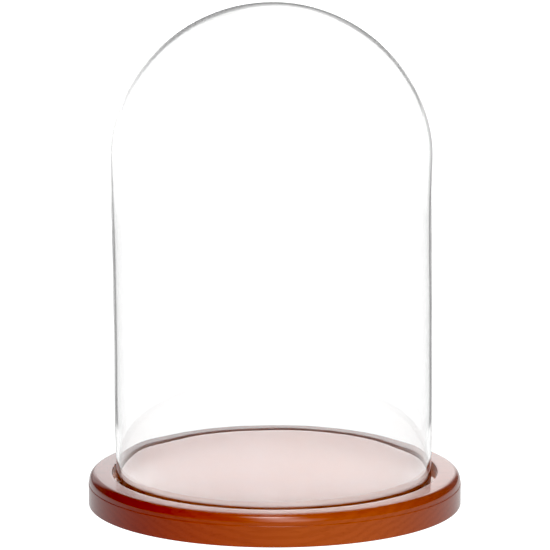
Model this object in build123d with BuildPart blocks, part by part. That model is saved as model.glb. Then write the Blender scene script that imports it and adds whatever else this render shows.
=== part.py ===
from build123d import *

import os
from math import acos, atan2, cos, degrees, radians, sin, sqrt

# Bell jar display dome: a blown glass cover whose rim stands in the ring groove of a turned,
# lacquered wooden base, which rests on round felt pads.
# Millimetres, +Z up. The origin is the centre of the plane that the object stands on.

# ---- glass cover ----
dome_diameter = 203.0  # outside, at the shoulder, its widest place
dome_height = 305.0  # from the rim to the apex
mouth_draw_in = 1.5  # the blown wall closes in by this much, on the radius, down to the rim
shoulder_inset = 12.5  # from the axis to the centre of the shoulder's arc
crown_flattening = 1.5  # the crown's arc is larger than the dome's radius by this much
glass_wall = 2.5
rim_land = 0.5  # flat ring left between the rim's two fire-polished corners

# ---- wooden base ----
base_thickness = 20.5
inner_clearance = 0.7  # between the glass and the raised platform inside it
outer_clearance = 3.3  # between the glass and the groove's outer wall
groove_depth = 5.0
land_width = 8.8  # flat border from the groove out to the rounded edge
roundover_radius = 5.3
fall_height = 2.0  # short upright below the rounded edge
step_width = 0.9  # how far the side stands out beyond that upright
step_round = 0.8  # rounding of the step's own corner
bottom_round = 0.8
lip_round = 0.5  # rounding of the groove's two top corners

# ---- felt pads under the base ----
pad_count = 4
pad_diameter = 25.0
pad_thickness = 2.0
pad_edge_margin = 10.0  # from a pad's edge to the side of the base
first_pad_angle = 45.0

# ---- heights and radii that follow ----
underside_z = pad_thickness
base_top_z = underside_z + base_thickness
groove_floor_z = base_top_z - groove_depth
step_z = base_top_z - roundover_radius - fall_height
rim_z = groove_floor_z
apex_z = rim_z + dome_height

dome_radius = dome_diameter / 2
mouth_radius = dome_radius - mouth_draw_in
shoulder_radius = dome_radius - shoulder_inset
crown_radius = dome_radius + crown_flattening

platform_radius = mouth_radius - glass_wall - inner_clearance
groove_outer_radius = mouth_radius + outer_clearance
upper_radius = groove_outer_radius + land_width + roundover_radius
base_radius = upper_radius + step_width
pad_circle_radius = base_radius - pad_edge_margin - pad_diameter / 2

# ---- shape of the dome's outside, as radius and height ----
# The crown is an arc about a point on the axis. It runs smoothly into the shoulder's smaller arc,
# and the straight wall leaves that arc on its tangent through the rim.
centre_drop = sqrt((crown_radius - shoulder_radius) ** 2 - shoulder_inset**2)
crown_centre_z = apex_z - crown_radius
shoulder_z = crown_centre_z + centre_drop
crown_start = degrees(atan2(centre_drop, shoulder_inset))
to_mouth = Vector(mouth_radius - shoulder_inset, rim_z - shoulder_z)
wall_normal = degrees(atan2(to_mouth.Y, to_mouth.X) + acos(shoulder_radius / to_mouth.length))


def ring_edge(solid, radius, height):
    """The round edge of a turned piece that has this radius and lies at this height."""
    rings = solid.edges().filter_by(GeomType.CIRCLE).filter_by_position(Axis.Z, height, height)
    return rings.sort_by(lambda edge: abs(edge.radius - radius))[0]


# ---- glass_dome: one blown shell, open at the bottom, with a fire-polished rim ----
with BuildPart() as glass_dome:
    with BuildSketch(Plane.XZ):
        with BuildLine():
            shoulder = CenterArc(
                (shoulder_inset, shoulder_z), shoulder_radius, wall_normal, crown_start - wall_normal
            )
            crown = CenterArc((0, crown_centre_z), crown_radius, crown_start, 90 - crown_start)
            Line((mouth_radius, rim_z), shoulder @ 0)
            Polyline(crown @ 1, (0, rim_z), (mouth_radius, rim_z))
        make_face()
    revolve(axis=Axis.Z)
    offset(amount=-glass_wall, openings=glass_dome.faces().sort_by(Axis.Z)[0])
    rim_edges = glass_dome.edges().group_by(Axis.Z)[0].filter_by(GeomType.CIRCLE)
    fillet(rim_edges, radius=(glass_wall - rim_land) / 2)
glass_dome.part.label = "glass_dome"

# ---- wooden_base: one turned board with a stepped, rounded edge and a groove for the rim ----
with BuildPart() as wooden_base:
    with BuildSketch(Plane.XZ):
        with BuildLine():
            Polyline(
                (0, underside_z),
                (base_radius, underside_z),
                (base_radius, step_z),
                (upper_radius, step_z),
                (upper_radius, base_top_z),
                (groove_outer_radius, base_top_z),
                (groove_outer_radius, groove_floor_z),
                (platform_radius, groove_floor_z),
                (platform_radius, base_top_z),
                (0, base_top_z),
                close=True,
            )
        make_face()
    revolve(axis=Axis.Z)
    fillet(ring_edge(wooden_base, upper_radius, base_top_z), radius=roundover_radius)
    fillet(ring_edge(wooden_base, base_radius, step_z), radius=step_round)
    fillet(ring_edge(wooden_base, base_radius, underside_z), radius=bottom_round)
    fillet(ring_edge(wooden_base, groove_outer_radius, base_top_z), radius=lip_round)
    fillet(ring_edge(wooden_base, platform_radius, base_top_z), radius=lip_round)
wooden_base.part.label = "wooden_base"

os.makedirs("parts", exist_ok=True)
export_step(glass_dome.part, "parts/glass_dome.step")
export_step(wooden_base.part, "parts/wooden_base.step")

# ---- felt_pad_1 to felt_pad_4: self-adhesive discs stuck to the underside ----
for index in range(pad_count):
    pad_angle = radians(first_pad_angle + index * 360 / pad_count)
    pad_centre = (pad_circle_radius * cos(pad_angle), pad_circle_radius * sin(pad_angle), 0)
    with BuildPart() as felt_pad:
        with BuildSketch(Plane(origin=pad_centre)):
            Circle(pad_diameter / 2)
        extrude(amount=pad_thickness)
    felt_pad.part.label = f"felt_pad_{index + 1}"
    export_step(felt_pad.part, f"parts/{felt_pad.part.label}.step")

print(f"base {2 * base_radius:.1f} across, overall height {apex_z:.1f}")
print(f"platform {2 * platform_radius:.1f} across, groove {groove_outer_radius - platform_radius:.1f} wide")
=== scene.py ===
# %% [markdown]
# # A bell jar display dome
#
# The object is a blown glass cover that stands in a ring groove of a turned, lacquered wooden base, and
# the base rests on four felt pads. The working model already fixes every size and the one motion, which
# is lifting the cover. This lesson gives each piece its real surface: glass that thickens and wavers as
# blown glass does, a cherry-stained board under a wet-looking lacquer, and pressed wool felt.
#
# We begin by loading the working model as a fixed frame. Nothing in it is ever moved. We also note the
# size of its box, because the finished meshes have to stay inside it.

from math import acos, atan2, cos, degrees, exp, hypot, pi, radians, sin, sqrt

import bmesh
import bpy
from mathutils import Matrix, Vector, noise


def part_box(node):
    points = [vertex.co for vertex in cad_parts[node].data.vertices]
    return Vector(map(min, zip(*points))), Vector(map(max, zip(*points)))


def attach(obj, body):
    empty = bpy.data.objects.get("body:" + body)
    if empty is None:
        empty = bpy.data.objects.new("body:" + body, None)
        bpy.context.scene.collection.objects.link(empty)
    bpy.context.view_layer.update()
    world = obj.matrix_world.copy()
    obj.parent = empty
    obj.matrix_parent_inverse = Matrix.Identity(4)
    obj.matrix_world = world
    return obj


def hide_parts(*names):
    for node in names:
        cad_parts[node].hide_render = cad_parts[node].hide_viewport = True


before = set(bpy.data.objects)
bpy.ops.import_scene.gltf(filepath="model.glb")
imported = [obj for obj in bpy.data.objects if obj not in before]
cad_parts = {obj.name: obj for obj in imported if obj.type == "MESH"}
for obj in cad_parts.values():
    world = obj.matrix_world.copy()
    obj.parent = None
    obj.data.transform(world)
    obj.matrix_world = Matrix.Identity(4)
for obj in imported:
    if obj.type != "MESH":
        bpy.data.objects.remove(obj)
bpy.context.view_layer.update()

# %% [markdown]
# Before making anything we take sizes off the frame, as a maker takes them off a drawing with calipers.
# Every node sits at the origin with its place in its mesh, so a turned piece can be read as a set of
# rings: each vertex has a distance from the upright axis and a height. The rings at one height give the
# edges of the groove, the platform and the rim without typing any of them again.

# %% Take the sizes off the frame
MM = 0.001


def rings(node, height):
    """Radii of the rings of vertices that a turned node has at this height, smallest first."""
    found = []
    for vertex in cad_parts[node].data.vertices:
        radius = hypot(vertex.co.x, vertex.co.y)
        level = abs(vertex.co.z - height) < 0.002 * MM
        if level and all(abs(radius - other) > 0.02 * MM for other in found):
            found.append(radius)
    return sorted(found)


dome_low, dome_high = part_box("glass_dome")
board_low, board_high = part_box("wooden_base")
rim_z, apex_z, dome_radius = dome_low.z, dome_high.z, dome_high.x
underside_z, board_top_z, board_radius = board_low.z, board_high.z, board_high.x
groove_floor_z = rim_z
platform_radius, groove_outer_radius = rings("wooden_base", groove_floor_z)
platform_flat, groove_flat, border_flat = rings("wooden_base", board_top_z)
underside_flat = rings("wooden_base", underside_z)[0]
print(f"dome {2 * dome_radius:.4f} across, rim at {rim_z:.4f}, apex at {apex_z:.4f}")
print(f"board {2 * board_radius:.4f} across, from {underside_z:.4f} to {board_top_z:.4f}")
print(f"groove from {platform_radius:.4f} to {groove_outer_radius:.4f} out from the axis")

# %% [markdown]
# A glass cover, a turned board and a felt disc all have an outline that goes round an axis, so one
# helper serves all three. Blender has a Screw modifier and a Spin tool for this. We fill the mesh by
# hand instead: that lets the first and last points sit on the axis as single vertices, and it lets each
# piece bend its own rings a little afterwards, as hand work does.


# %% A helper that turns an outline
def turn(name, outline, steps):
    """A closed mesh turned round Z from (radius, height) points. The first and last are on the axis."""
    mesh = bmesh.new()
    first = mesh.verts.new((0, 0, outline[0][1]))
    last = mesh.verts.new((0, 0, outline[-1][1]))
    turns = [2 * pi * k / steps for k in range(steps)]
    loops = []
    for radius, height in outline[1:-1]:
        loops.append([mesh.verts.new((radius * cos(a), radius * sin(a), height)) for a in turns])
    for k in range(steps):
        after = (k + 1) % steps
        mesh.faces.new((first, loops[0][k], loops[0][after]))
        mesh.faces.new((last, loops[-1][after], loops[-1][k]))
        for inner, outer in zip(loops, loops[1:]):
            mesh.faces.new((inner[k], outer[k], outer[after], inner[after]))
    bmesh.ops.recalc_face_normals(mesh, faces=mesh.faces)
    data = bpy.data.meshes.new(name)
    mesh.to_mesh(data)
    mesh.free()
    data.shade_smooth()
    piece = bpy.data.objects.new(name, data)
    bpy.context.scene.collection.objects.link(piece)
    return piece


def arc(centre, radius, start, end, count):
    """Points along an arc in the (radius, height) plane. Angle 0 points away from the axis."""
    sweep = [start + (end - start) * k / count for k in range(count + 1)]
    return [(centre[0] + radius * cos(a), centre[1] + radius * sin(a)) for a in sweep]


def run(start, end, count):
    """Points along a straight run, without its two ends."""
    shares = [k / count for k in range(1, count)]
    return [(start[0] + (end[0] - start[0]) * t, start[1] + (end[1] - start[1]) * t) for t in shares]


def smooth(low, high, value):
    """0 below low, 1 above high, and an even S-curve between them."""
    share = min(1.0, max(0.0, (value - low) / (high - low)))
    return share * share * (3 - 2 * share)


print("a quarter round in 6 steps has", len(arc((0, 0), 1, 0, pi / 2, 6)), "points")

# %% [markdown]
# ## The glass cover
#
# A display dome is blown into a mould, cut off at the mouth, and its rim is melted round in a flame. Its
# outline is a crown, a tighter shoulder and a wall that closes in slightly down to the mouth. The inside
# follows at one wall's thickness. A Solidify modifier could make the inside, but the fire-polished rim
# has to be a true half round, so outside and inside are drawn here as one closed outline.

# %% Draw the dome's outline
WALL = 2.5 * MM
RIM_LAND = 0.5 * MM
SHOULDER_INSET = 12.5 * MM
CROWN_FLATTENING = 1.5 * MM
RIM_STEPS = 6
rim_round = (WALL - RIM_LAND) / 2
mouth_radius = rings("glass_dome", rim_z)[-1] + rim_round
shoulder_radius = dome_radius - SHOULDER_INSET
crown_radius = dome_radius + CROWN_FLATTENING
centre_drop = sqrt((crown_radius - shoulder_radius) ** 2 - SHOULDER_INSET**2)
crown_z = apex_z - crown_radius
shoulder_z = crown_z + centre_drop
crown_start = atan2(centre_drop, SHOULDER_INSET)
to_mouth = Vector((mouth_radius - SHOULDER_INSET, rim_z - shoulder_z))
wall_normal = atan2(to_mouth.y, to_mouth.x) + acos(shoulder_radius / to_mouth.length)


def dome_side(depth):
    """The dome's outline from the apex down to the rim's rounding, this deep under its outside."""
    crown = arc((0, crown_z), crown_radius - depth, pi / 2, crown_start, 50)
    shoulder = arc((SHOULDER_INSET, shoulder_z), shoulder_radius - depth, crown_start, wall_normal, 22)
    foot = (mouth_radius - depth, rim_z + rim_round)
    return crown + shoulder[1:] + run(shoulder[-1], foot, 60) + [foot]


def rim_corner(centre_radius, start, end):
    """One melted corner of the rim."""
    return arc((centre_radius, rim_z + rim_round), rim_round, start, end, RIM_STEPS)


outside = dome_side(0)
inside = dome_side(WALL)
outer_corner = rim_corner(mouth_radius - rim_round, 0, -pi / 2)
inner_corner = rim_corner(mouth_radius - WALL + rim_round, -pi / 2, -pi)
dome_outline = outside[:-1] + outer_corner + inner_corner + inside[-2::-1]
outer_rings = len(outside) - 1 + RIM_STEPS
DOME_STEPS = 320
blown_dome = turn("blown_dome", dome_outline, DOME_STEPS)
print(f"blown_dome: {len(blown_dome.data.polygons)} faces, mouth {2 * mouth_radius:.4f} across")

# %% [markdown]
# Glass from a blowpipe is never as even as an outline. The gather runs down and leaves the wall thicker
# in a band above the mouth, highest and thickest in front, and that band acts as a weak prism: it lifts
# what is seen through it. Up and down ridges in the band make the lifted image waver.
#
# All of this is in the mesh and not in a bump texture, because glass bends light by its real shape. The
# band's upper edge falls off quickly and makes the prism. Its lower edge thins slowly, because a steep
# return would show as a second edge.

# %% Let the glass run down
RUN_THICK = 0.48 * MM
RUN_HALF = 10 * MM
RUN_MIDDLE = 1.3 * MM  # above the rim, at the two sides
RUN_TILT = 52.1 * MM  # how much higher it is in front
RUN_FOOT = 6 * MM
FOOT_RISE = 9 * MM
ROUND_MEAN = 0.66
ROUND_SWING = 0.48
RIDGES = [(-55, 0.30, 8), (-40, -0.14, 7), (50, -0.45, 11)]  # degrees from the front, strength, width


def run_down(turn_angle, height):
    """Extra thickness of the wall here, where the hot glass ran down before it set."""
    ridge = 1.0
    for place, strength, width in RIDGES:
        ridge += strength * exp(-(((turn_angle - place) / width) ** 2))
    front = cos(radians(turn_angle))
    foot = rim_z + RUN_FOOT
    middle = rim_z + RUN_MIDDLE + RUN_TILT * front
    thickest_z = max(middle - RUN_HALF, foot + FOOT_RISE)
    thins_above = 1 - smooth(middle - RUN_HALF, middle + RUN_HALF, height)
    fades_round = ROUND_MEAN + ROUND_SWING * front
    return RUN_THICK * fades_round * ridge * thins_above * smooth(foot, thickest_z, height)


print(f"20 mm above the rim, in front, the wall gains {run_down(0, rim_z + 20 * MM) * 1000:.2f} mm")

# %% [markdown]
# The dome also stands a hair out of true. It sits off the middle of its groove, leans, and bows a little
# at three fifths of its height. Its wall swells where it filled the mould at the shoulder, is lean below
# that, and swells again low down. The bow and the swells are bell curves over the height, because a bell
# curve has no corner that the glass would show as a line.

# %% Set the dome out of true
OFFSET = 0.6 * MM
LEAN = 1.0 * MM
BOW = 0.8 * MM
BOW_HEIGHT = 182.5 * MM
BOW_SPAN = 55 * MM
SWELL = 0.45 * MM
SWELLS = [(214.5 * MM, 22 * MM, 1.0), (154.5 * MM, 30 * MM, -0.8), (48.5 * MM, 26 * MM, 0.9)]


def bell(height, middle, span):
    """1 at this middle, given above the rim, and less and less away from it."""
    return exp(-(((height - rim_z - middle) / span) ** 2))


def swell(height):
    """How far the blown wall stands out here. It is fullest at the shoulder and lean below it."""
    return SWELL * sum(share * bell(height, middle, span) for middle, span, share in SWELLS)


def stands_off(height):
    """How far the dome's middle is off the true axis here. It leans, and it bows a little."""
    return OFFSET + LEAN * (height - rim_z) / (apex_z - rim_z) + BOW * bell(height, BOW_HEIGHT, BOW_SPAN)


print(f"at the bow the dome stands {stands_off(rim_z + BOW_HEIGHT) * 1000:.1f} mm off its axis")

# %% [markdown]
# Now every point of the turned mesh is moved by these rules, and by a soft noise that stands for the
# wavering of the skin. The inside is moved more than the outside, so the silhouette stays clean while
# the thickness changes. The lowest 2 mm only move sideways with the rest of the dome, so the rim keeps
# the round section it was drawn with and still stands in its groove.

# %% Move the glass
INSIDE_WAVER = 0.05 * MM
OUTSIDE_WAVER = 0.02 * MM
INSIDE_SIZE = 30 * MM
OUTSIDE_SIZE = 45 * MM
WAVER_SEED = Vector((7.3, 1.9, 4.4))
ON_AXIS = 0.1 * MM
thickest = 0
for vertex in blown_dome.data.vertices:
    point = vertex.co.copy()
    radius = hypot(point.x, point.y)
    if radius < ON_AXIS:
        continue
    out = Vector((point.x, point.y, 0)) / radius
    over_wall = point - Vector((0, 0, min(point.z, crown_z)))
    skin = over_wall.normalized()
    is_inside = vertex.index >= 2 + DOME_STEPS * outer_rings
    free = smooth(rim_z + 2 * MM, rim_z + 12 * MM, point.z)
    wave = noise.noise(point / (INSIDE_SIZE if is_inside else OUTSIDE_SIZE) + WAVER_SEED)
    if is_inside:
        extra = run_down(degrees(atan2(point.x, -point.y)), point.z)
        thickest = max(thickest, extra)
        point -= out * extra
    point += skin * wave * free * (INSIDE_WAVER if is_inside else OUTSIDE_WAVER)
    point += out * swell(point.z) * free
    point.x -= stands_off(point.z)
    vertex.co = point
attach(blown_dome, "dome")
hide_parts("glass_dome")
print(f"the band adds up to {thickest * 1000:.2f} mm to the wall")

# %% [markdown]
# ## The wooden base
#
# The base is one board turned on a lathe. From the middle out it has a raised platform, a square-bottomed
# groove for the glass, a flat border, a rounded edge, a short upright and a step. A lathe tool and a last
# sanding leave every corner slightly eased, and those eased corners are what catch the light, so each
# one gets its own small arc instead of a Bevel modifier's guess. The one inner corner, above the step,
# stays sharp: two points close together there keep the smooth shading from rounding it.

# %% Draw the board's outline
STEP_WIDTH = 0.4 * MM
STEP_ROUND = 0.35 * MM
CORNER = 0.05 * MM
ROUND_DROP = 5.3 * MM
FALL = 1.6 * MM
FLOOR_COVE = 0.4 * MM
FLAT_KEPT = 1.0 * MM
bottom_round = board_radius - underside_flat
lip_round = platform_radius - platform_flat
upper_radius = board_radius - STEP_WIDTH
round_end_z = board_top_z - ROUND_DROP
step_z = round_end_z - FALL
lip_z = board_top_z - lip_round
cove_z = groove_floor_z + FLOOR_COVE


def groove_outline():
    """From the platform's edge down into the groove, across its floor and up to the border."""
    points = arc((platform_flat, lip_z), lip_round, pi / 2, 0, 6)
    points += run((platform_radius, lip_z), (platform_radius, cove_z), 4)
    points += arc((platform_radius + FLOOR_COVE, cove_z), FLOOR_COVE, pi, 1.5 * pi, 4)
    points += arc((groove_outer_radius - FLOOR_COVE, cove_z), FLOOR_COVE, -pi / 2, 0, 4)
    points += run((groove_outer_radius, cove_z), (groove_outer_radius, lip_z), 4)
    return points + arc((groove_flat, lip_z), lip_round, pi, pi / 2, 6)


def edge_outline():
    """From the border over the rounded edge and the step, down to the underside."""
    flat_end = border_flat + FLAT_KEPT
    points = []
    for across, up in arc((0, 0), 1.0, pi / 2, 0, 24):
        points.append((flat_end + across * (upper_radius - flat_end), round_end_z + up * ROUND_DROP))
    points += run((upper_radius, round_end_z), (upper_radius, step_z + CORNER), 4)
    points += [(upper_radius, step_z + CORNER), (upper_radius, step_z)]
    points += arc((board_radius - STEP_ROUND, step_z - STEP_ROUND), STEP_ROUND, pi / 2, 0, 8)
    points += run((board_radius, step_z - STEP_ROUND), (board_radius, underside_z + bottom_round), 8)
    return points + arc((underside_flat, underside_z + bottom_round), bottom_round, 0, -pi / 2, 8)


print(f"the rounded edge ends at {round_end_z:.4f} and the step is at {step_z:.4f}")

# %% [markdown]
# The outline is put together from the middle of the top, over the edge and to the middle of the
# underside. The long flats get points of their own, so that the faces stay short. Then it is turned.

# %% Turn the board
BOARD_STEPS = 320
board_outline = [(0, board_top_z)]
board_outline += run((0, board_top_z), (platform_flat, board_top_z), 30)
board_outline += groove_outline()
board_outline += run((groove_flat, board_top_z), (border_flat, board_top_z), 5)
board_outline += edge_outline()
board_outline += run((underside_flat, underside_z), (0, underside_z), 30)
board_outline += [(0, underside_z)]
turned_base = turn("turned_base", board_outline, BOARD_STEPS)
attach(turned_base, "base")
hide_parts("wooden_base")
print(f"turned_base: {len(turned_base.data.polygons)} faces from {len(board_outline)} points")

# %% [markdown]
# ## The felt pads
#
# Four discs punched from wool felt are stuck under the board, so that it stands quietly and doesn't
# scratch. Punched felt has a soft, slightly ragged edge and a face that isn't quite flat. Each pad is
# turned like the other pieces, and then its points are nudged by noise that is a little different for
# each pad. Felt is firm and full.

# %% Shape one felt disc
FELT_STEPS = 120
FELT_EDGE = 0.5 * MM
FELT_RAG = 0.22 * MM
FELT_DIMPLE = 0.10 * MM
RAG_SIZE = 1.1 * MM
DIMPLE_SIZE = 2.6 * MM
RAG_WIDTH = 1.5 * MM
PAD_SEED = 3.1


def felt_disc(number):
    """The pad that stands for one felt node, ragged at its edge and slightly uneven underneath."""
    node = f"felt_pad_{number}"
    low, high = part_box(node)
    centre = (low + high) / 2
    radius = (high.x - low.x) / 2
    flat = radius - FELT_EDGE
    outline = [(0, high.z)] + run((0, high.z), (flat, high.z), 14)
    outline += arc((flat, high.z - FELT_EDGE), FELT_EDGE, pi / 2, 0, 5)
    outline += run((radius, high.z - FELT_EDGE), (radius, low.z + FELT_EDGE), 4)
    outline += arc((flat, low.z + FELT_EDGE), FELT_EDGE, 0, -pi / 2, 5)
    outline += run((flat, low.z), (0, low.z), 14) + [(0, low.z)]
    disc = turn(f"felt_disc_{number}", outline, FELT_STEPS)
    for vertex in disc.data.vertices:
        point = vertex.co.copy()
        out = hypot(point.x, point.y)
        seed = Vector((PAD_SEED * number, 0, 0))
        ragged = 0.5 + 0.5 * noise.noise(point / RAG_SIZE + seed)
        dimple = 0.5 + 0.5 * noise.noise(point / DIMPLE_SIZE - seed)
        edge = smooth(flat - RAG_WIDTH, radius, out)
        if out > 0:
            vertex.co.x -= point.x / out * FELT_RAG * ragged * edge
            vertex.co.y -= point.y / out * FELT_RAG * ragged * edge
        if point.z < centre.z:
            vertex.co.z += FELT_DIMPLE * dimple * smooth(0.2, 0.9, ragged)
    disc.data.transform(Matrix.Translation((centre.x, centre.y, 0)))
    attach(disc, "base")
    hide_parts(node)
    return disc


print(f"felt edges are ragged by up to {FELT_RAG / MM:.2f} mm")

# %% [markdown]
# The frame has one node for each pad, and each node gets its own disc.

# %% Punch the felt discs
felt_nodes = [name for name in sorted(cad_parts) if name.startswith("felt_pad_")]
felt_discs = [felt_disc(number) for number in range(1, len(felt_nodes) + 1)]
print("felt discs:", [disc.name for disc in felt_discs])

# %% [markdown]
# ## Finishes
#
# Every finish is made of nodes and reads its place from the piece itself, so it stays put when the dome
# is lifted and it carries over to a game engine or a viewer. Node code is long when every socket is set
# by hand. A few small helpers keep it readable. The first ones start a material, fill a socket, and add
# a node with its values and links in a single line.


# %% Helpers that add nodes
def finish_named(name):
    """A new material, with its node tree and its main shader."""
    material = bpy.data.materials.new(name)
    material.use_nodes = True
    return material, material.node_tree, material.node_tree.nodes["Principled BSDF"]


def feed(tree, socket, value):
    """Link a socket to another one, or give it a plain value."""
    if isinstance(value, bpy.types.NodeSocket):
        tree.links.new(value, socket)
    else:
        socket.default_value = value


def add(tree, kind, settings=None, **inputs):
    """A new node. settings are its own options. inputs are its sockets by name, or i0, i1 by place."""
    node = tree.nodes.new("ShaderNode" + kind)
    for option, value in (settings or {}).items():
        setattr(node, option, value)
    for key, value in inputs.items():
        by_place = key[0] == "i" and key[1:].isdigit()
        feed(tree, node.inputs[int(key[1:]) if by_place else key.replace("_", " ")], value)
    return node


def arithmetic(tree, operation, first, second=0.0):
    """One sum or comparison, as the socket that carries its answer."""
    return add(tree, "Math", {"operation": operation}, i0=first, i1=second).outputs[0]


print("node helpers:", [helper.__name__ for helper in (finish_named, feed, add, arithmetic)])

# %% [markdown]
# The others are the steps that painting by nodes is made of: blend two colours, ease from one value to
# another, turn a value into a colour with a ramp, and make a cloudy pattern that can be stretched. The
# last one puts a finished material on a piece.


# %% Helpers that mix colours and patterns
def blend(tree, share, first, second, kind="MIX"):
    """A colour between two colours. Any of the three can be a socket instead of a value."""
    node = add(tree, "Mix", {"data_type": "RGBA", "blend_type": kind})
    wanted = {"Factor_Float": share, "A_Color": first, "B_Color": second}
    for socket in node.inputs:
        value = wanted.get(socket.identifier)
        if value is not None:
            feed(tree, socket, (*value, 1.0) if isinstance(value, tuple) else value)
    return next(socket for socket in node.outputs if socket.identifier == "Result_Color")


def ease(tree, value, low, high, at_low=0.0, at_high=1.0):
    """at_low up to low, at_high from high on, and an even S-curve between."""
    options = {"interpolation_type": "SMOOTHSTEP"}
    return add(tree, "MapRange", options, i0=value, i1=low, i2=high, i3=at_low, i4=at_high).outputs[0]


def colour_ramp(tree, source, stops):
    """A ramp from (place, tone) stops. A tone is one brightness or a colour of three."""
    node = add(tree, "ValToRGB", Fac=source)
    marks = node.color_ramp.elements
    for number, (place, tone) in enumerate(stops):
        mark = marks[number] if number < 2 else marks.new(place)
        mark.position = place
        mark.color = (*tone, 1.0) if isinstance(tone, tuple) else (tone, tone, tone, 1.0)
    return node.outputs["Color"]


def noise_at(tree, place, scale, detail, stretch=(1.0, 1.0, 1.0)):
    """A cloudy pattern from 0 to 1, finer as the scale grows. The scale counts per metre."""
    spread = add(tree, "Mapping", Vector=place)
    spread.inputs["Scale"].default_value = stretch
    return add(tree, "TexNoise", Vector=spread.outputs[0], Scale=scale, Detail=detail).outputs["Fac"]


def use(piece, material):
    """Give the piece one more finish."""
    piece.data.materials.append(material)
    print(f"{piece.name} wears {material.name}, made of {len(material.node_tree.nodes)} nodes")


print("pattern helpers:", [helper.__name__ for helper in (blend, ease, colour_ramp, noise_at, use)])

# %% [markdown]
# ### Clear blown glass
#
# The Principled shader with full transmission bends and mirrors light as real glass does. Two things
# need help. Near its outline real glass shows a thin dark line, where it bends dark surroundings into
# view, and a studio lit this evenly has no such surroundings. So the line is painted shade: the outer
# skin carries a dark tint that depends on how squarely it is seen, from a Layer Weight node: clear in the
# middle, dark in a narrow band, and clear again at the very edge. The painted line is paler on the crown.
# Just above the mouth the line fades away, and the melted rim itself is painted dark grey-green, as
# painted shade for the light its rounded edge traps.
#
# The second thing is the skin itself. A bump far too faint to see as bumps makes the reflections in
# blown glass swim a little. Roughness stays at zero, because clear glass is perfectly polished.

# %% Melt the clear glass
# Painted shade: the tones of the dark line near the glass's outline and of the dark rim.
SIDE_SHADE_TONES = [
    (0.0, 1.0), (0.62, 0.97), (0.72, 0.86), (0.79, 0.60), (0.82, 0.012), (0.865, 0.012),
    (0.90, 0.45), (0.94, 1.0), (1.0, 1.0),
]
CROWN_SHADE_TONES = [(0.0, 1.0), (0.68, 0.95), (0.74, 0.80), (0.775, 0.30), (0.885, 0.22), (0.92, 0.8), (1.0, 1.0)]
CROWN_BLEND = (crown_z - 21 * MM, crown_z + 59 * MM)
LINE_FADE = (rim_z + 34 * MM, rim_z + 41 * MM)
RIM_FADE = (rim_z + 1.5 * MM, rim_z + 4 * MM)
RIM_SHADE_TONE = (0.10, 0.13, 0.12)
SKIN_RIPPLE = 0.02 * MM


def painted_edge_shade(tree, place):
    """The outer skin's painted shade: a dark tint by the angle it is seen at and by height."""
    angle = add(tree, "LayerWeight", Blend=0.5).outputs["Facing"]
    height = add(tree, "SeparateXYZ", i0=place).outputs["Z"]
    up_crown = ease(tree, height, *CROWN_BLEND)
    above_mouth = ease(tree, height, *LINE_FADE)
    side = colour_ramp(tree, angle, SIDE_SHADE_TONES)
    crown = colour_ramp(tree, angle, CROWN_SHADE_TONES)
    above_rim = ease(tree, height, *RIM_FADE)
    low_down = blend(tree, above_rim, RIM_SHADE_TONE, (1, 1, 1))
    return blend(tree, above_mouth, low_down, blend(tree, up_crown, side, crown))


def clear_glass(name, with_painted_shade):
    """Polished clear glass, with the painted edge shade if this is the outer skin."""
    material, tree, shader = finish_named(name)
    shader.inputs["Transmission Weight"].default_value = 1.0
    shader.inputs["Roughness"].default_value = 0.0
    shader.inputs["IOR"].default_value = 1.5
    place = add(tree, "TexCoord").outputs["Object"]
    if with_painted_shade:
        tree.links.new(painted_edge_shade(tree, place), shader.inputs["Base Color"])
    ripple = noise_at(tree, place, 55.0, 1.0)
    bump = add(tree, "Bump", Height=ripple, Strength=1.0, Distance=SKIN_RIPPLE)
    tree.links.new(bump.outputs["Normal"], shader.inputs["Normal"])
    return material


use(blown_dome, clear_glass("clear_glass_outside", True))
use(blown_dome, clear_glass("clear_glass_inside", False))

# %% [markdown]
# The dome is one closed skin, so its faces have to be told which side they are on. They were turned
# from the outline in order: first the outside, then the melted rim, then the inside.

# %% Tell the inside faces apart
for face in blown_dome.data.polygons:
    ring = (max(face.vertices) - 2) // DOME_STEPS
    face.material_index = int(ring > outer_rings or min(face.vertices) == 1)
print("inside faces:", sum(face.material_index for face in blown_dome.data.polygons))

# %% [markdown]
# ### Stained cherry under lacquer
#
# Cherry has a fine, quiet grain. The board was sawn from near the heart, so the growth rings run as long
# ovals round an axis that lies along X, below and in front of the board. A Wave texture set to rings
# gives exactly that, and because it is solid, the same rings meet correctly where the flat top turns
# over the rounded edge. A second noise, stretched hard along the grain, makes the fibres and pores.

# %% Grow the grain
RING_CENTRE = (0.0, 0.031, 0.085)
RING_STRETCH = (0.30, 1.0, 1.0)
RING_SCALE = 75.0
WAVE_PERIOD = 2 * pi / 20  # from ring to ring in the Wave texture, at a scale of 1
FIBRE_STRETCH = (22.0, 700.0, 700.0)
lacquer, tree, shader = finish_named("cherry_lacquer")
place = add(tree, "TexCoord").outputs["Object"]
lie = add(tree, "Mapping", Vector=place)
lie.inputs["Location"].default_value = RING_CENTRE
lie.inputs["Scale"].default_value = RING_STRETCH
rings_style = {"wave_type": "RINGS", "rings_direction": "X"}
growth = add(tree, "TexWave", rings_style, Vector=lie.outputs[0], Scale=RING_SCALE, Distortion=5.0)
growth.inputs["Detail"].default_value = 3.0
growth.inputs["Detail Scale"].default_value = 1.2
fibre = noise_at(tree, place, 1.0, 4.0, FIBRE_STRETCH)
clouds = noise_at(tree, place, 14.0, 2.0, (0.5, 1.0, 1.0))
print(f"growth rings about {1000 * WAVE_PERIOD / RING_SCALE:.1f} mm apart across the grain")
print(f"fibres about {1000 / FIBRE_STRETCH[1]:.1f} mm apart and {1000 / FIBRE_STRETCH[0]:.0f} mm long")
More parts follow.
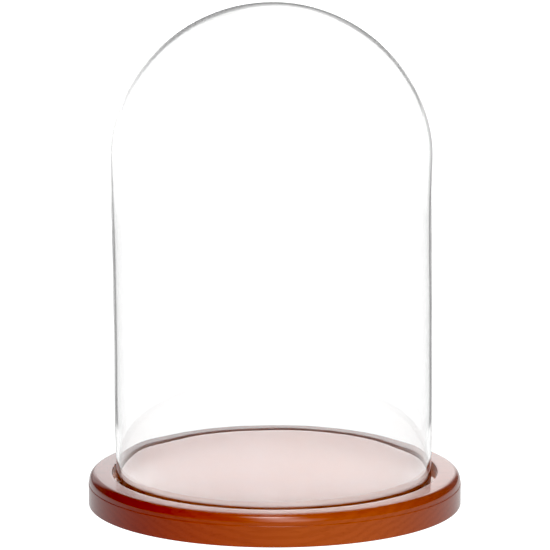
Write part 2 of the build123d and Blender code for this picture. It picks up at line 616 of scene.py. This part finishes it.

# %% [markdown]
# A ramp of stain tones along X, across the board, gives the cherry its colour and also painted shade: it
# darkens the board towards its left end and a little towards its right end, where less light falls on the
# sides of a board lit from the front. The platform never goes further down the ramp than a given tone, and
# it is painted a little darker all over, as painted shade for its dimmer look under the glass.

# %% Stain the board
# Painted shade: the dark ends of this ramp stand for light falling off towards the board's sides.
STAIN_AND_SHADE = [
    (0.03, (0.25, 0.026, 0.009)), (0.14, (0.31, 0.033, 0.009)), (0.30, (0.41, 0.058, 0.013)),
    (0.56, (0.50, 0.098, 0.020)), (0.80, (0.50, 0.100, 0.022)), (0.97, (0.38, 0.066, 0.018)),
]
PLATFORM_LEAST = 0.46
PLATFORM_SHADE = (0.86, 0.92, 0.96)
level = add(tree, "VectorMath", {"operation": "MULTIPLY"}, i0=place, i1=(1, 1, 0)).outputs[0]
from_axis = add(tree, "VectorMath", {"operation": "LENGTH"}, i0=level).outputs["Value"]
across = add(tree, "SeparateXYZ", i0=place).outputs["X"]
along = add(tree, "MapRange", i0=across, i1=-board_radius, i2=board_radius).outputs[0]
off_platform = ease(tree, from_axis, platform_radius, platform_radius + 2 * MM)
least = add(tree, "MapRange", i0=off_platform, i3=PLATFORM_LEAST, i4=0.0).outputs[0]
along = arithmetic(tree, "MAXIMUM", along, least)
wood = colour_ramp(tree, along, STAIN_AND_SHADE)
print("the stain runs through", len(STAIN_AND_SHADE), "tones across", round(2 * board_radius / MM), "mm")

# %% [markdown]
# Late wood, pores and cloudy patches darken the stain by multiplying, which keeps them faint and of its
# own hue. Each one has a ramp that turns its pattern into a share from nothing to a little. The
# platform's painted shade goes over them.

# %% Let the grain show
late_wood = colour_ramp(tree, growth.outputs["Fac"], [(0.35, 0.0), (0.9, 0.24)])
wood = blend(tree, late_wood, wood, (0.72, 0.60, 0.55), "MULTIPLY")
pores = colour_ramp(tree, fibre, [(0.30, 0.22), (0.48, 0.0)])
wood = blend(tree, pores, wood, (0.60, 0.45, 0.40), "MULTIPLY")
patches = colour_ramp(tree, clouds, [(0.35, 0.0), (0.70, 0.30)])
wood = blend(tree, patches, wood, (0.82, 0.74, 0.70), "MULTIPLY")
# Painted shade: the platform is made a little darker all over, for its dimmer look under the glass.
platform_shade = blend(tree, off_platform, PLATFORM_SHADE, (1, 1, 1))
wood = blend(tree, 1.0, wood, platform_shade, "MULTIPLY")
print("grain so far:", len(tree.nodes), "nodes")

# %% [markdown]
# The groove is painted paler, as painted light that lifts the shade falling into it round the glass rim.
# Its place is found from the height and from the distance to the axis, both read off the frame.

# %% Leave the groove paler
# Painted light: a paler tone in the groove, where shade falls round the glass rim.
GROOVE_PAINTED_LIGHT = (0.60, 0.20, 0.10)
height = add(tree, "SeparateXYZ", i0=place).outputs["Z"]
inside_lip = arithmetic(tree, "LESS_THAN", from_axis, groove_outer_radius + 1.2 * MM)
above_floor = arithmetic(tree, "GREATER_THAN", height, groove_floor_z - 1 * MM)
below_top = ease(tree, height, board_top_z - 0.9 * MM, board_top_z - 0.2 * MM, 1.0, 0.0)
in_groove = arithmetic(tree, "MULTIPLY", arithmetic(tree, "MULTIPLY", inside_lip, above_floor), below_top)
wood = blend(tree, in_groove, wood, GROOVE_PAINTED_LIGHT)
tree.links.new(wood, shader.inputs["Base Color"])
print(f"the groove is paler from {groove_floor_z:.4f} to just under {board_top_z:.4f}")

# %% [markdown]
# Over the colour lies the lacquer. It is the coat layer of the shader: clear, glossy and smooth, with a
# faint orange peel from the spray gun. The wood under it has no shine of its own, so its own specular is
# off, and its roughness follows the fibres. A faint bump lets the pores telegraph through, as they do
# on a board whose grain was only partly filled. A trace of sheen gives the milky bloom that polished
# lacquer shows when it is seen from very low.

# %% Spray the lacquer
shader.inputs["Specular IOR Level"].default_value = 0.0
shader.inputs["Coat Weight"].default_value = 1.0
shader.inputs["Coat Roughness"].default_value = 0.04
shader.inputs["Coat IOR"].default_value = 1.5
shader.inputs["Sheen Weight"].default_value = 0.19
shader.inputs["Sheen Roughness"].default_value = 0.45
tree.links.new(colour_ramp(tree, fibre, [(0.3, 0.52), (0.7, 0.36)]), shader.inputs["Roughness"])
fibre_bump = add(tree, "Bump", Height=fibre, Strength=0.35, Distance=0.02 * MM)
tree.links.new(fibre_bump.outputs["Normal"], shader.inputs["Normal"])
peel = noise_at(tree, place, 420.0, 1.0)
peel_bump = add(tree, "Bump", Height=peel, Strength=0.30, Distance=0.010 * MM)
tree.links.new(peel_bump.outputs["Normal"], shader.inputs["Coat Normal"])
use(turned_base, lacquer)

# %% [markdown]
# ### Wool felt
#
# Pressed felt is a mat of short fibres in several browns. A fine, twisted noise makes the fibres, and a
# coarser one makes the worn tufts. Felt scatters light at its surface, so it gets a sheen and almost no
# specular. The bump is deep compared with the fibre size, which keeps the pads soft-looking up close.

# %% Press the felt
felt, tree, shader = finish_named("wool_felt")
place = add(tree, "TexCoord").outputs["Object"]
shader.inputs["Sheen Weight"].default_value = 0.4
shader.inputs["Specular IOR Level"].default_value = 0.1
wool = noise_at(tree, place, 1500.0, 6.0)
tufts = noise_at(tree, place, 260.0, 2.0)
colour = colour_ramp(tree, wool, [(0.35, (0.10, 0.052, 0.028)), (0.65, (0.24, 0.14, 0.08))])
colour = blend(tree, colour_ramp(tree, tufts, [(0.4, 0.0), (0.7, 0.5)]), colour, (0.13, 0.07, 0.038))
tree.links.new(colour, shader.inputs["Base Color"])
tree.links.new(colour_ramp(tree, wool, [(0.3, 0.85), (0.7, 1.0)]), shader.inputs["Roughness"])
bump = add(tree, "Bump", Height=wool, Strength=0.8, Distance=0.25 * MM)
tree.links.new(bump.outputs["Normal"], shader.inputs["Normal"])
for disc in felt_discs:
    use(disc, felt)

# %% [markdown]
# ## The studio
#
# Clear glass shows almost nothing of itself. It shows what stands round it. A product studio for glass
# is therefore a white sweep that glows evenly, with a few soft lights placed for their reflections.
#
# The floor is a plain sheet. It belongs to the studio, not to the object.

# %% Roll out the white floor
FLOOR_HALF = 30.0


def flat_sheet(name, half_width, half_depth):
    """A flat rectangle round the origin, facing up. It belongs to the studio, not to the object."""
    sheet = bmesh.new()
    corners = ((-1, -1), (1, -1), (1, 1), (-1, 1))
    sheet.faces.new([sheet.verts.new((x * half_width, y * half_depth, 0)) for x, y in corners])
    data = bpy.data.meshes.new(name)
    sheet.to_mesh(data)
    sheet.free()
    piece = bpy.data.objects.new(name, data)
    bpy.context.scene.collection.objects.link(piece)
    return piece


floor = flat_sheet("studio_floor", FLOOR_HALF, FLOOR_HALF)
print("the floor is", 2 * FLOOR_HALF, "m wide")

# %% [markdown]
# It glows at full strength where it is seen directly or through the glass, as an overlit paper sweep
# does. In reflections and as bounced light it is dimmer, because the lacquer would otherwise look milky.
# The Light Path node tells these apart.

# %% Make the floor glow
FLOOR_SEEN = 1.36
FLOOR_MIRRORED = 0.72
FLOOR_BOUNCE = 0.70
sweep, tree, shader = finish_named("white_sweep")
tree.nodes.remove(shader)
path = add(tree, "LightPath").outputs
seen = arithmetic(tree, "MAXIMUM", path["Is Camera Ray"], path["Is Transmission Ray"])
unseen = add(tree, "MapRange", i0=path["Is Glossy Ray"], i3=FLOOR_BOUNCE, i4=FLOOR_MIRRORED).outputs[0]
strength = add(tree, "MapRange", i0=seen, i3=unseen, i4=FLOOR_SEEN).outputs[0]
paper_glow = add(tree, "Emission", Strength=strength).outputs[0]
tree.links.new(paper_glow, tree.nodes["Material Output"].inputs["Surface"])
use(floor, sweep)

# %% [markdown]
# The ceiling and walls of the studio are the world. It is nearly dark, with a handful of round soft
# lights, each one a bright spot that falls off evenly. They are given by where they stand: an azimuth
# with 0 behind the object, growing to the right, an elevation, a spread in degrees and a strength. The
# one high in front draws the highlight along the rounded edge. The low one in front lights the wood.

# %% Hang the soft lights in the sky
SKY_DARK = 0.05
SKY_LIGHTS = [
    ("high behind", 6, 25, 10, 3.0),
    ("low in front", 171, 22, 17, 3.6),
    ("low at the right", 120, 15, 25, 0.25),
    ("high in front", -176, 66, 9, 12.0),
    ("under the high one", 178, 46, 10, 4.0),
]
scene = bpy.context.scene
scene.world = bpy.data.worlds.new("studio")
scene.world.use_nodes = True
tree = scene.world.node_tree
sight = add(tree, "TexCoord").outputs["Generated"]


def soft_light(azimuth, elevation, spread, strength):
    """The brightness that one round light adds in each direction of the world."""
    turned, raised = radians(azimuth), radians(elevation)
    towards = (sin(turned) * cos(raised), cos(turned) * cos(raised), sin(raised))
    dot = add(tree, "VectorMath", {"operation": "DOT_PRODUCT"}, i0=sight, i1=towards).outputs["Value"]
    off_axis = arithmetic(tree, "DIVIDE", arithmetic(tree, "SUBTRACT", dot, 1.0), 1 - cos(radians(spread)))
    return arithmetic(tree, "MULTIPLY", arithmetic(tree, "EXPONENT", off_axis), strength)


total = SKY_DARK
for _, azimuth, elevation, spread, power in SKY_LIGHTS:
    total = arithmetic(tree, "ADD", total, soft_light(azimuth, elevation, spread, power))
path = add(tree, "LightPath").outputs
seen = arithmetic(tree, "MAXIMUM", path["Is Camera Ray"], path["Is Transmission Ray"])
total = arithmetic(tree, "MAXIMUM", total, arithmetic(tree, "MULTIPLY", seen, FLOOR_SEEN))
background = tree.nodes["Background"]
background.inputs["Color"].default_value = (1, 1, 1, 1)
tree.links.new(total, background.inputs["Strength"])
print("sky lights:", ", ".join(light[0] for light in SKY_LIGHTS))

# %% [markdown]
# Two lights have to stand at a real distance, because the low board must see them and the high crown
# must not. They are upright cards with soft edges. The back card is what the polished top mirrors, and
# it makes the top pale. The left card lights the glass from the side, so that the left shoulder melts
# into the background. Both are clear from behind and hidden from the camera, so they never stand in the
# way of a view from another side.


# %% Stand up the glow cards
SOFT_EDGE = 0.30


def edge_fade(tree, share):
    """0 at both ends of a run from 0 to 1, and 1 over its middle."""
    rises = ease(tree, share, 0.0, SOFT_EDGE)
    falls = ease(tree, share, 1 - SOFT_EDGE, 1.0, 1.0, 0.0)
    return arithmetic(tree, "MULTIPLY", rises, falls)


def glow_card(name, centre, width, height, radiance):
    """An upright card that glows towards the object, fades at its edges and is clear from behind."""
    card = flat_sheet(name, width / 2, height / 2)
    card.location = centre
    inwards = Vector((-centre[0], -centre[1], 0))
    card.rotation_euler = inwards.to_track_quat("Z", "Y").to_euler()
    card.visible_camera = False
    material, tree, shader = finish_named(name)
    tree.nodes.remove(shader)
    share = add(tree, "SeparateXYZ", i0=add(tree, "TexCoord").outputs["Generated"]).outputs
    faded = arithmetic(tree, "MULTIPLY", edge_fade(tree, share["X"]), edge_fade(tree, share["Y"]))
    behind = add(tree, "NewGeometry").outputs["Backfacing"]
    forward = add(tree, "MapRange", i0=behind, i3=radiance, i4=0.0).outputs[0]
    glow = add(tree, "Emission", Strength=arithmetic(tree, "MULTIPLY", faded, forward)).outputs[0]
    clear = add(tree, "BsdfTransparent").outputs[0]
    both = add(tree, "AddShader", i0=glow, i1=clear).outputs[0]
    tree.links.new(both, tree.nodes["Material Output"].inputs["Surface"])
    use(card, material)


glow_card("back_card", (0.03, 1.0, 0.155), 0.90, 0.42, 1.55)
glow_card("left_card", (-0.31, 0.62, 0.21), 0.36, 0.38, 0.62)

# %% [markdown]
# The camera stands far off with a long lens, a little above the object and looking slightly down. A long
# lens keeps the sides of the dome upright and the ellipse of the base flat.
#
# The last touch is the print curve. A studio print sets its black a little above zero, so that the
# faint haze of light on dark lacquer disappears and the red stays deep. The colour curve's black level
# does that, with the Standard view so the white floor stays white.

# %% Place the camera and set the print curve
DISTANCE = 3.5
TILT = radians(11.5)
LENS = 363.15
BLACK = 0.035
aim = Vector((0.0002, 0, 0.149327))
camera = bpy.data.objects.new("camera", bpy.data.cameras.new("camera"))
scene.collection.objects.link(camera)
camera.data.sensor_width = 36
camera.data.lens = LENS
camera.data.clip_end = 100
camera.location = aim + DISTANCE * Vector((0, -cos(TILT), sin(TILT)))
camera.rotation_euler = (pi / 2 - TILT, 0, 0)
scene.camera = camera
curve = scene.view_settings
curve.view_transform = "Standard"
curve.use_curve_mapping = True
curve.curve_mapping.black_level = (BLACK, BLACK, BLACK)
curve.curve_mapping.update()
print(f"camera {DISTANCE} m away, looking down {degrees(TILT):.1f} degrees")
